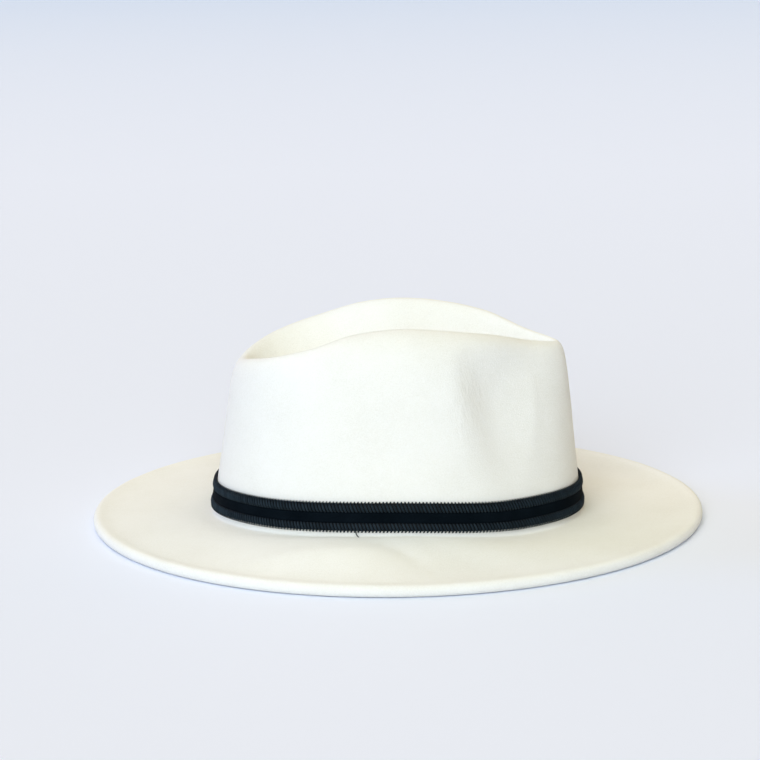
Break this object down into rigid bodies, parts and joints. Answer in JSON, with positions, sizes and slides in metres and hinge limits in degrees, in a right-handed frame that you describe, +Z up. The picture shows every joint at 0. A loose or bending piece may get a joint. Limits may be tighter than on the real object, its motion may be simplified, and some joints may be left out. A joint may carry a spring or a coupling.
{
  "type": "fedora hat",
  "caption": "Wide-brimmed felt fedora with a teardrop crown, pinched front, turned-under brim edge and a dark braid and velvet trim.",
  "frame": {"origin": "on the floor under the middle of the brim, level with the lowest part of the brim", "axes": "+X to the front of the hat, +Y to the wearer's left, +Z up through the crown"},
  "size_m": [0.3474, 0.3106, 0.1172],
  "materials": {
    "ivory_felt": "matt wool felt",
    "black_braid": "ribbed satin yarn",
    "black_velvet": "matt pile"
  },
  "bodies": {
    "root": {"felt_body": "ivory_felt", "braid_lower": "black_braid", "velvet_strip": "black_velvet", "braid_upper": "black_braid"}
  },
  "joints": []
}
